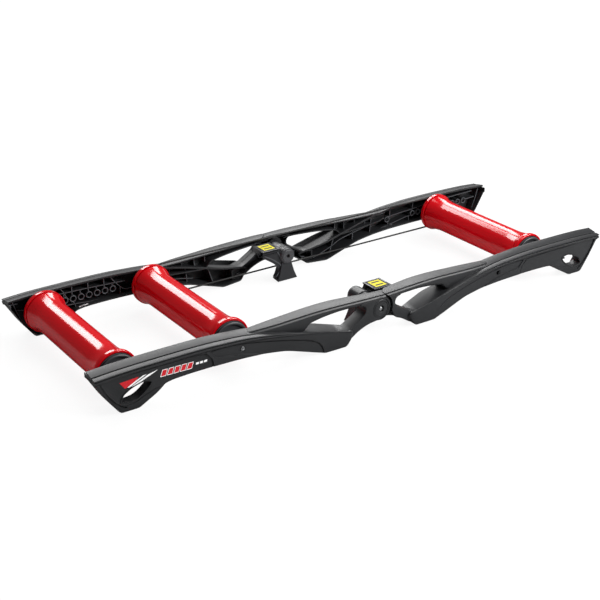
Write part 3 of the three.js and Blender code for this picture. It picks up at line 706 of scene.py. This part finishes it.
def socket_tubes():
    """Bored bosses: a painted highlight makes their mouths pale rings on the dark web."""
    mouth = [(5.6, 196), (6.3, 195), (7.4, 195), (8.0, 195.7)]
    blind = [(0, 208.6), (5.6, 208.6)] + mouth + [(8.0, 224.3), (0, 224.3)]
    tubes = [turned("socket", blind, u, AXLE_Z, 32) for u in SOCKETS]
    tubes.append(turned("socket", [(5.6, 224.6)] + mouth + [(8.0, 224.6)], MIDDLE_SOCKET, AXLE_Z, 32))
    return [paint_edge_highlight(tube, 196.5) for tube in tubes]


# Recesses in the rails' faces: a long panel behind the end foot and one along the limb to the bolt.
# A fine groove is moulded round each, and the end foot is pierced, with a thin rim round the opening.
PANEL = [
    (664, 75, 2), (650, 50, 8), (626, 19, 3), (607, 14, 4), (590, 16, 6), (575, 24, 8), (545, 34, 12),
    (500, 30, 6), (422, 30, 3), (422, 50, 3), (424, 58, 3), (438, 74.5, 3), (470, 77, 10), (562, 78, 10),
    (640, 79, 6),
]
FOOT_OPENING = [
    (556, 51, 6), (574, 56, 6), (599, 49.5, 10), (617, 38, 6), (623, 23, 3), (607, 18.5, 5),
    (590, 20.5, 6), (578, 27, 6), (562, 41, 6),
]
LIMB_TOP = [
    (426, 75.5), (412, 77), (390, 77), (360, 74.5), (311, 66.6), (261, 57.3), (210, 45.6), (184, 37.4),
    (168, 28.0), (160, 18.0), (155, 5), (152, -7),
]
LIMB_LOW = [(427, 75.4), (413, 60), (347.5, 49.5), (302.9, 37)]
GROOVE_FROM, GROOVE_TO = WEB - 3.4, WEB + 3


def limb_panel():
    """The recess along the limb, 2 mm under its bulging face and eased at both of its long edges."""
    rings = []
    for u, z in curved(LIMB_TOP, 4):
        low = -20 if u < 303 else min(z - 3.0, reading(LIMB_LOW, u, 1))
        face = limb_face(u)
        rings.append([(u, face - 2.2, z - 2), (u, face - 2.2, low + 0.6), (u, face + 0.6, low - 0.8),
                      (u, 300, low - 0.8), (u, 300, z + 0.6), (u, face + 0.4, z + 0.6)])
    return lofted("limb_panel", rings)


def limb_groove():
    """The groove along the limb panel's upper edge, which narrows inward."""
    rings = []
    for u, z in curved(LIMB_TOP, 4):
        face = limb_face(u)
        rings.append([(u, face - 3.6, z - 1.4), (u, face - 3.6, z + 1.4), (u, face + 2, z + 2.0),
                      (u, face + 2, z - 1.9)])
    return lofted("limb_groove", rings)


foot_mouth = rounded(FOOT_OPENING, 5)
face_cutters = [
    limb_groove(),
    ribbon(curved([(664, 76), (640, 80.0), (562, 78.6), (500, 78.0), (462, 77), (437, 75)]),
           GROOVE_FROM, GROOVE_TO, 3.4),
    ribbon([(437, 76), (423, 58), (421, 50), (421, 34)], GROOVE_FROM, GROOVE_TO, 3.4),
    ribbon(curved([(664, 76), (652, 52), (640, 34), (626, 19), (612, 10)]), GROOVE_FROM, GROOVE_TO, 3.2),
    slab("panel", rounded(PANEL), WEB + 3.0, WEB - 2.2, 1.6),
    limb_panel(),
    slab("opening", foot_mouth, 180, 260),
    turned("bolt_hole", [(0, 215), (7.6, 215), (7.6, 226.2), (8.2, 227.1), (8.2, 229), (0, 229)],
           MIDDLE_SOCKET, AXLE_Z, 40),
]
rim = ribbon(foot_mouth + foot_mouth[:1], 203, WEB - 1.0, 2.0)
for cutter in face_cutters:
    combined(beam_shell, cutter)

# Room at the hinge: each half keeps clear of the other's knuckle and of its neck while it folds.
# The knuckles are moulded in one with the rails and lie side by side, as in a folding rule.
HINGE_Z, LUG, SWING, COVER, BARREL, BARREL_END = 63.0, 27.6, 33.4, 21.5, 17.0, 170.0
KNUCKLE_END, COVER_START, JOINT_STEP, NECK_SWING = 219.7, 220.3, 14.0, 107.5


def swung(corners, degrees):
    """The other half's neck outline, turned round the hinge as the frame folds."""
    cosine, sine = math.cos(math.radians(degrees)), math.sin(math.radians(degrees))
    return [(-x * cosine - (z - HINGE_Z) * sine, -x * sine + (z - HINGE_Z) * cosine + HINGE_Z, radius)
            for x, z, radius in corners]


def joint_cut(gap, way):
    """What the other half takes of the arch's top, seen from above: the joint crosses it as a zigzag."""
    reach = JOINT_STEP + gap
    zigzag = [(reach, 250), (reach, 214.5), (reach + 15.5, 200), (reach + 15.5, 180)]
    return [(x * way, y) for x, y in zigzag] + [(-80, 180), (-80, 250)]


def plan_block(points, z0, z1):
    """An outline of (x, y) seen from above, drawn up from z0 to z1."""
    block = slab("block", [(x, -y) for x, y in points], z0, z1)
    block.rotation_euler = (math.pi / 2, 0, 0)
    return block


def knuckle_room():
    """The round room for the other knuckle, wider where that one's plate swings through."""
    outline = []
    for degrees in range(0, 360, 5):
        radius = SWING if 255 < degrees < 360 else LUG + 1.4
        angle = math.radians(degrees)
        outline.append((radius * math.cos(angle), HINGE_Z + radius * math.sin(angle)))
    return outline


def hinge_room(outside):
    """The space that the other half takes: its knuckle, its turning neck and its end of the arch."""
    if outside:
        y0, y1 = 100, COVER_START
        rooms = [slab("room", knuckle_room(), y0, y1), plan_block(joint_cut(0, -1), 50, 120)]
    else:
        y0, y1 = KNUCKLE_END, 300
        rooms = [turned("room", [(0, y0), (SWING, y0), (SWING, y1), (0, y1)], 0, HINGE_Z, 96),
                 plan_block(joint_cut(1.5, 1), 88.6, 120),
                 slab("room", [(-80, 40), (-80, 120), (0, 120), (0, 40)], 180, 300)]
    for share in (1, 0.87, 0.74, 0.62):
        rooms.append(slab("room", rounded(swung(NECK, share * NECK_SWING)), y0, y1))
    return rooms


def hinge_lug(outside):
    """One knuckle of the rule joint: a plate and barrel behind it, or a plate with the round cover."""
    if not outside:
        barrel = turned("barrel", [
            (4.9, BARREL_END), (BARREL - 1.2, BARREL_END), (BARREL, BARREL_END + 1.2),
            (BARREL, NECK_EDGE + 1), (BARREL + 3, NECK_EDGE), (LUG - 1.5, NECK_EDGE),
            (LUG, NECK_EDGE + 1.5), (LUG, KNUCKLE_END), (4.9, KNUCKLE_END)], 0, HINGE_Z, 80)
        web = slab("web", rounded(NECK), 213, 219.4)
        return joined([barrel, web], "inner_knuckle")
    return turned("lug", [
        (4.9, COVER_START), (LUG, COVER_START), (LUG, 230.2), (LUG - 1.6, 231.9), (COVER + 2.2, 231.9),
        (COVER + 2.0, 228.0), (COVER, 228.0), (COVER - 0.1, 232.4), (COVER - 0.8, 233.0), (18.8, 233.0),
        (18.4, 231.9), (17.2, 231.9), (16.8, 233.0), (8.2, 233.0), (7.6, 232.4), (7.4, 228.4), (4.9, 228.4),
    ], 0, HINGE_Z, 80)


socket_row = socket_tubes()
end_wall = clipped([[(673.9, 99), (673.9, 60)]], beam_core, CAP_EDGE + 1)
limb_pieces = clipped(limb_ribs, beam_core, RIB_EDGE)
arch_pieces = clipped(arch_ribs, arch_core, ARCH_RIB_EDGE)
far_arch_pieces, near_arch_pieces = arch_pieces[:-3], arch_pieces[-3:]
neck_pieces = clipped(neck_ribs, neck_core, NECK_RIB_EDGE)
rear_pieces = clipped(rear_ribs, beam_core, RIB_EDGE)
front_pieces = clipped(front_ribs, beam_core, RIB_EDGE)
# The rear rails' tips reach further out: everything past STRETCH_FROM moves, by STRETCH at the very end.
STRETCH, STRETCH_FROM, STRETCH_RUN = 6.5, 545, 90
# Columns: end and side as signs, whether the knuckle is the outer one, whether the cap's edge is notched.
RAILS = {
    "front_rail_left": (1, 1, True, True), "front_rail_right": (1, -1, False, True),
    "rear_rail_left": (-1, 1, False, False), "rear_rail_right": (-1, -1, True, False),
}
for node, (end, side, outside, notched) in RAILS.items():
    hinge_side = [paint_edge_highlight(copied(arch_shell)), paint_edge_highlight(copied(neck_shell))]
    hinge_side += [copied(piece) for piece in neck_pieces + near_arch_pieces]
    for room in hinge_room(outside):
        for piece in hinge_side:
            combined(piece, room, keep=True)
        bpy.data.objects.remove(room)
    beam = paint_edge_highlight(copied(beam_shell))
    if notched:
        for u in SOCKETS:
            combined(beam, slab("notch", [(u - 4, 70), (u - 4, 110), (u + 4, 110), (u + 4, 70)], 150, 192))
    inside = socket_row + end_wall + limb_pieces + far_arch_pieces
    inside += front_pieces if notched else rear_pieces
    rest = [paint_edge_highlight(copied(rim))] + [copied(piece) for piece in inside]
    rail = joined([beam] + hinge_side + rest + [paint_edge_highlight(hinge_lug(outside))], f"{node}_moulding")
    if end < 0:
        for vertex in rail.data.vertices:
            share = (vertex.co.x / MM - STRETCH_FROM) / STRETCH_RUN
            vertex.co.x += STRETCH * MM * min(1, max(0, share))
    rail.scale = (end, side, 1)
    settle(rail, f"{node}_moulding", smooth=30)
    if end * side < 0:
        bpy.ops.object.mode_set(mode="EDIT")
        face_outward()
    dressed(rail, "front_frame" if end > 0 else "rear_frame", node, "frame_plastic")
spares = [beam_shell, arch_shell, neck_shell, beam_core, arch_core, neck_core, rim] + socket_row + end_wall
spares += limb_pieces + arch_pieces + neck_pieces + rear_pieces + front_pieces
for spare in spares:
    bpy.data.objects.remove(spare)

# Hinges and levers: a steel pin runs through both knuckles, the barrel and the lever's hub.
# The lever is a black moulding with a thumb pad above, a ribbed curved web and a fan foot below.
# A round cap closes the hinge's inner end, and a plain yellow label with a dark border lies on the pad.
lever_nylon = plastic("black_lever_nylon", "#202124", "#2b2c2f", 0.36, 0.7, 0.14)
LEVER = [
    (-68, 84.0, 1), (-22, 84.0, 2), (-19, 74, 8), (2, 66.0, 6), (11, 38, 12), (25.5, 9, 3), (17, 2.0, 2),
    (-6, 3.5, 2), (-15, 1.0, 2), (-34, 12, 3), (-19, 34, 14), (-37, 49.5, 14), (-68, 70.0, 3),
]
HUB, HUB_BORE = 19.6, 4.8


def lever(side):
    """Drawn on the left with the pad behind the hinge; the right one is turned half round."""
    plate = slab("plate", rounded(LEVER), 139.5, 149.5, 1.0)
    combined(plate, turned("bore", [(0, 100), (HUB_BORE, 100), (HUB_BORE, 200), (0, 200)], 0, HINGE_Z, 32))
    ribs = [ribbon(line, 137.8, 147, 2.0) for line in (
        curved([(-64, 74.5), (-36, 57.6), (-16, 37), (-30, 14)]),
        curved([(-30, 81), (-23, 72), (-13, 52), (0, 42)]), [(8, 40), (-14, 5)], [(8, 40), (20, 6)])]
    hub = turned("hub", [(HUB_BORE, 138), (HUB - 1.4, 138), (HUB, 139.4), (HUB, 168.3), (HUB - 1.4, 169.7),
                         (HUB_BORE, 169.7)], 0, HINGE_Z, 80)
    pad = slab("pad", [
        (-68, 86), (-21, 86), (-21, 83.4), (-65.5, 83.4), (-65.5, 81.2), (-25, 81.2), (-25, 78.6),
        (-65.5, 78.6), (-65.5, 76.4), (-27, 76.4), (-27, 74.4), (-68, 74.4)], 136, 183, 0.5)
    foot = lofted("foot", [
        [(-k * 30, 131, 2.5), (-k * 26, 160, 2.5), (-k * 21, 158, 20), (-k * 16.5, 156, 38),
         (-k * 12, 155, 54.5), (-k * 12, 138.6, 54.5), (-k * 16.5, 136, 38), (-k * 22, 133.5, 20)]
        for k in (1, 0.33, -0.33, -0.85)])
    arm = joined([plate, hub, pad, foot] + ribs, f"{side}_release_lever")
    # The ribs' front ends get the paler nylon, a painted highlight.
    arm.data.materials.clear()
    for material in (lever_nylon, edge_highlight_nylon):
        arm.data.materials.append(material)
    for face in arm.data.polygons:
        face.material_index = int(137.5 * MM < face.center.y < 138.0 * MM)
    return arm


def label_print():
    """A bare printed label: a yellow field with a dark border and two short black bars."""
    material = bare_material("printed_vinyl_label")
    where = add(material, "ShaderNodeTexCoord")
    parts = add(material, "ShaderNodeSeparateXYZ", {}, {0: (where, "Object")})
    fine = add(material, "ShaderNodeTexNoise", {"Scale": 1400}, {"Vector": (where, "Object")})

    def sums(operation, source, *values):
        """One sum on a distance in metres."""
        settings = {"operation": operation, **dict(enumerate(values, 1))}
        return add(material, "ShaderNodeMath", settings, {0: source})

    off_middle, inside = {}, {}
    for axis, middle, half in (("X", 0.0445, 0.0150), ("Y", 0.1595, 0.0158)):
        size = sums("ABSOLUTE", (parts, axis))
        off = sums("SUBTRACT", (size, 0), middle)
        off_middle[axis] = sums("ABSOLUTE", (off, 0))
        inside[axis] = sums("LESS_THAN", (off_middle[axis], 0), half)
    field = add(material, "ShaderNodeMath", {"operation": "MULTIPLY"},
                {0: (inside["X"], 0), 1: (inside["Y"], 0)})
    colour = add(material, "ShaderNodeMix", {"data_type": "RGBA"}, {"Factor": (field, 0)})
    colour.inputs[6].default_value = linear("#161614")
    colour.inputs[7].default_value = linear("#dcd000")
    bar_middle, bar_half_width, bar_half_length = 0.0075, 0.0026, 0.011
    bars = sums("COMPARE", (off_middle["Y"], 0), bar_middle, bar_half_width)
    short = sums("LESS_THAN", (off_middle["X"], 0), bar_half_length)
    barred = add(material, "ShaderNodeMath", {"operation": "MULTIPLY"}, {0: (bars, 0), 1: (short, 0)})
    printed = add(material, "ShaderNodeMix", {"data_type": "RGBA"}, {"Factor": (barred, 0), 6: (colour, 2)})
    printed.inputs[7].default_value = linear("#1c1c1c")
    bump = add(material, "ShaderNodeBump", {"Strength": 0.05, "Distance": 0.0001}, {"Height": (fine, "Fac")})
    surface = add(material, "ShaderNodeBsdfPrincipled", {"Roughness": 0.55, "IOR": 1.35},
                  {"Base Color": (printed, 2), "Normal": (bump, 0)})
    add(material, "ShaderNodeOutputMaterial", {}, {"Surface": (surface, 0)})
    return material


label_vinyl = label_print()
for side, end, body in (("left", 1, "rear_frame"), ("right", -1, "front_frame")):
    pin_profile = [(0, 137.6), (4.5, 137.6), (4.5, 231.0), (4.1, 231.9), (2.8, 232.7), (0, 233.1)]
    pin = turned(f"{side}_hinge_pin", flipped(pin_profile, end), 0, HINGE_Z, 40)
    dressed(pin, body, f"hinge_pin_{side}", "steel", steel)
    cover = turned(f"{side}_hinge_cap", flipped([
        (4.6, 131.6), (5.4, 130.7), (14.6, 130.7), (15.6, 131.4), (15.9, 132.4), (17.4, 132.4),
        (18.2, 133.0), (18.6, 134.0), (18.6, 137.9), (4.6, 137.9)], end), 0, HINGE_Z, 80)
    dressed(cover, body, f"hinge_cap_{side}", "cap_plastic", cap_nylon)
    arm = lever(side)
    label_edge = [(-63.5, 86.05), (-63.5, 86.5), (-25.5, 86.5), (-25.5, 86.05)]
    label = slab(f"{side}_lever_label", label_edge, 140, 179)
    label.data.materials.append(label_vinyl)
    moving = ((arm, "release_lever", "lever_plastic"), (label, "lever_label", "label_vinyl"))
    for piece, node, slot in moving:
        piece.scale = (end, end, 1)
        settle(piece, f"{side}_{node}", smooth=30)
        dressed(piece, f"{side}_lever", f"{node}_{side}", slot)

# Drive belt: a round black rubber cord joins the middle drum to the front one on the left.
# It is one endless ring in the caps' grooves, and it passes the hinge.
belt_rubber = plastic("black_rubber_cord", "#151515", "#1d1d1d", 0.62, 0.4, 0.2)
BELT_Y, BELT_RUN, BELT_RADIUS = 178.7, 39.8, 2.0
deselect()
bpy.ops.mesh.primitive_torus_add(major_segments=96, minor_segments=16, major_radius=BELT_RUN * MM,
                                 minor_radius=BELT_RADIUS * MM, rotation=(math.pi / 2, 0, 0))
belt = bpy.context.object
belt.location = (0, BELT_Y * MM, AXLE_Z * MM)
settle(belt, "drive_belt_cord", smooth=40)
bpy.ops.object.mode_set(mode="EDIT")
bpy.ops.mesh.select_all(action="DESELECT")
bpy.ops.object.mode_set(mode="OBJECT")
for face in belt.data.polygons:
    face.select = face.center.x > 0
bpy.ops.object.mode_set(mode="EDIT")
bpy.ops.mesh.split()
bpy.ops.transform.translate(value=(DRUM_X["front"] * MM, 0, 0))
bpy.ops.mesh.select_all(action="INVERT")
bpy.ops.transform.translate(value=(DRUM_X["middle"] * MM, 0, 0))
for above in (True, False):
    bpy.ops.mesh.select_all(action="DESELECT")
    bpy.ops.mesh.select_non_manifold()
    bpy.ops.object.mode_set(mode="OBJECT")
    for vertex in belt.data.vertices:
        vertex.select = vertex.select and (vertex.co.z > AXLE_Z * MM) == above
    for edge in belt.data.edges:
        edge.select = all(belt.data.vertices[k].select for k in edge.vertices)
    bpy.ops.object.mode_set(mode="EDIT")
    bpy.ops.mesh.bridge_edge_loops(number_cuts=72, interpolation="LINEAR")
face_outward()
bpy.ops.object.shade_smooth_by_angle(angle=math.radians(40))
belt.data.materials.append(belt_rubber)
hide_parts("drive_belt")
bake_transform(belt)

# Trim on the outer face of two rails: plain slanted bars and pointed flashes in red and white.
# They are thin vinyl, laid in the long recess behind the end foot.
# One small white bar lies inside the far rear rail, on its lower flange.


def vinyl(name, colour):
    """Glossy printed vinyl, very slightly uneven where it lies on the grain below."""
    material = bare_material(name)
    where = add(material, "ShaderNodeTexCoord")
    wave = add(material, "ShaderNodeTexNoise", {"Scale": 260, "Detail": 2}, {"Vector": (where, "Object")})
    bump = add(material, "ShaderNodeBump", {"Strength": 0.08, "Distance": 0.0002}, {"Height": (wave, "Fac")})
    surface = add(material, "ShaderNodeBsdfPrincipled", {"Base Color": linear(colour), "Roughness": 0.3},
                  {"Normal": (bump, 0)})
    add(material, "ShaderNodeOutputMaterial", {}, {"Surface": (surface, 0)})
    return material


red_vinyl, white_vinyl = vinyl("red_printed_vinyl", "#cf1020"), vinyl("white_printed_vinyl", "#ffffff")
VINYL_THICK, VINYL_LOW, VINYL_TOP = 0.12, 224.84, 224.92
TRIM = [
    ("red_flash", red_vinyl, VINYL_LOW, [(628, 66), (586, 68), (597, 58), (617, 50.5)]),
    ("white_flash", white_vinyl, VINYL_TOP, [
        (612, 52), (596, 60), (577, 68), (569, 68.5), (592, 58), (608, 50.5)]),
    ("white_sweep", white_vinyl, VINYL_LOW, [
        (603, 51.5), (582, 60), (566, 67), (543, 71.5), (560, 64.5), (577, 58), (590, 52)]),
]
for step in range(5):
    left, rise = 540 - 14.6 * step, 0.35 * step
    TRIM.append((f"white_block_{step + 1}", white_vinyl, VINYL_LOW, [
        (left, 53.0 - rise), (left - 5.6, 67.6 - rise), (left - 17.6, 67.2 - rise),
        (left - 12.6, 52.6 - rise)]))
    TRIM.append((f"red_block_{step + 1}", red_vinyl, VINYL_TOP, [
        (left - 1.6, 54.2 - rise), (left - 6.4, 66.4 - rise), (left - 16.2, 66.1 - rise),
        (left - 12.0, 53.9 - rise)]))
for step in range(3):
    left = 460 - 9.4 * step
    TRIM.append((f"small_white_block_{step + 1}", white_vinyl, VINYL_LOW, [
        (left, 57), (left - 1.4, 61.6), (left - 8.2, 61.4), (left - 7.0, 56.8)]))
mark_rings = []
for u in stations(521, 498, 4) + [498]:
    flange = max(0, eased(BEAM, u, 2, 4)) + WALL
    low, high = flange - 0.1, flange + 0.2
    mark_rings.append([(u, 189, low), (u, 189, high), (u, 192.5, high), (u, 192.5, low)])
mark = lofted("inside_mark", mark_rings)
mark.scale = (-1, 1, 1)
settle(mark, "rear_frame_inside_mark", smooth=0)
dressed(mark, "rear_frame", None, None, white_vinyl)
for end, side, body in ((-1, -1, "rear_frame"), (1, 1, "front_frame")):
    for name, material, y, points in TRIM:
        piece = slab(name, points, y, y + VINYL_THICK)
        piece.scale = (end, side, 1)
        settle(piece, f"{body}_{name}", smooth=0)
        dressed(piece, body, None, None, material)

bpy.context.view_layer.update()

low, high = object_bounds()
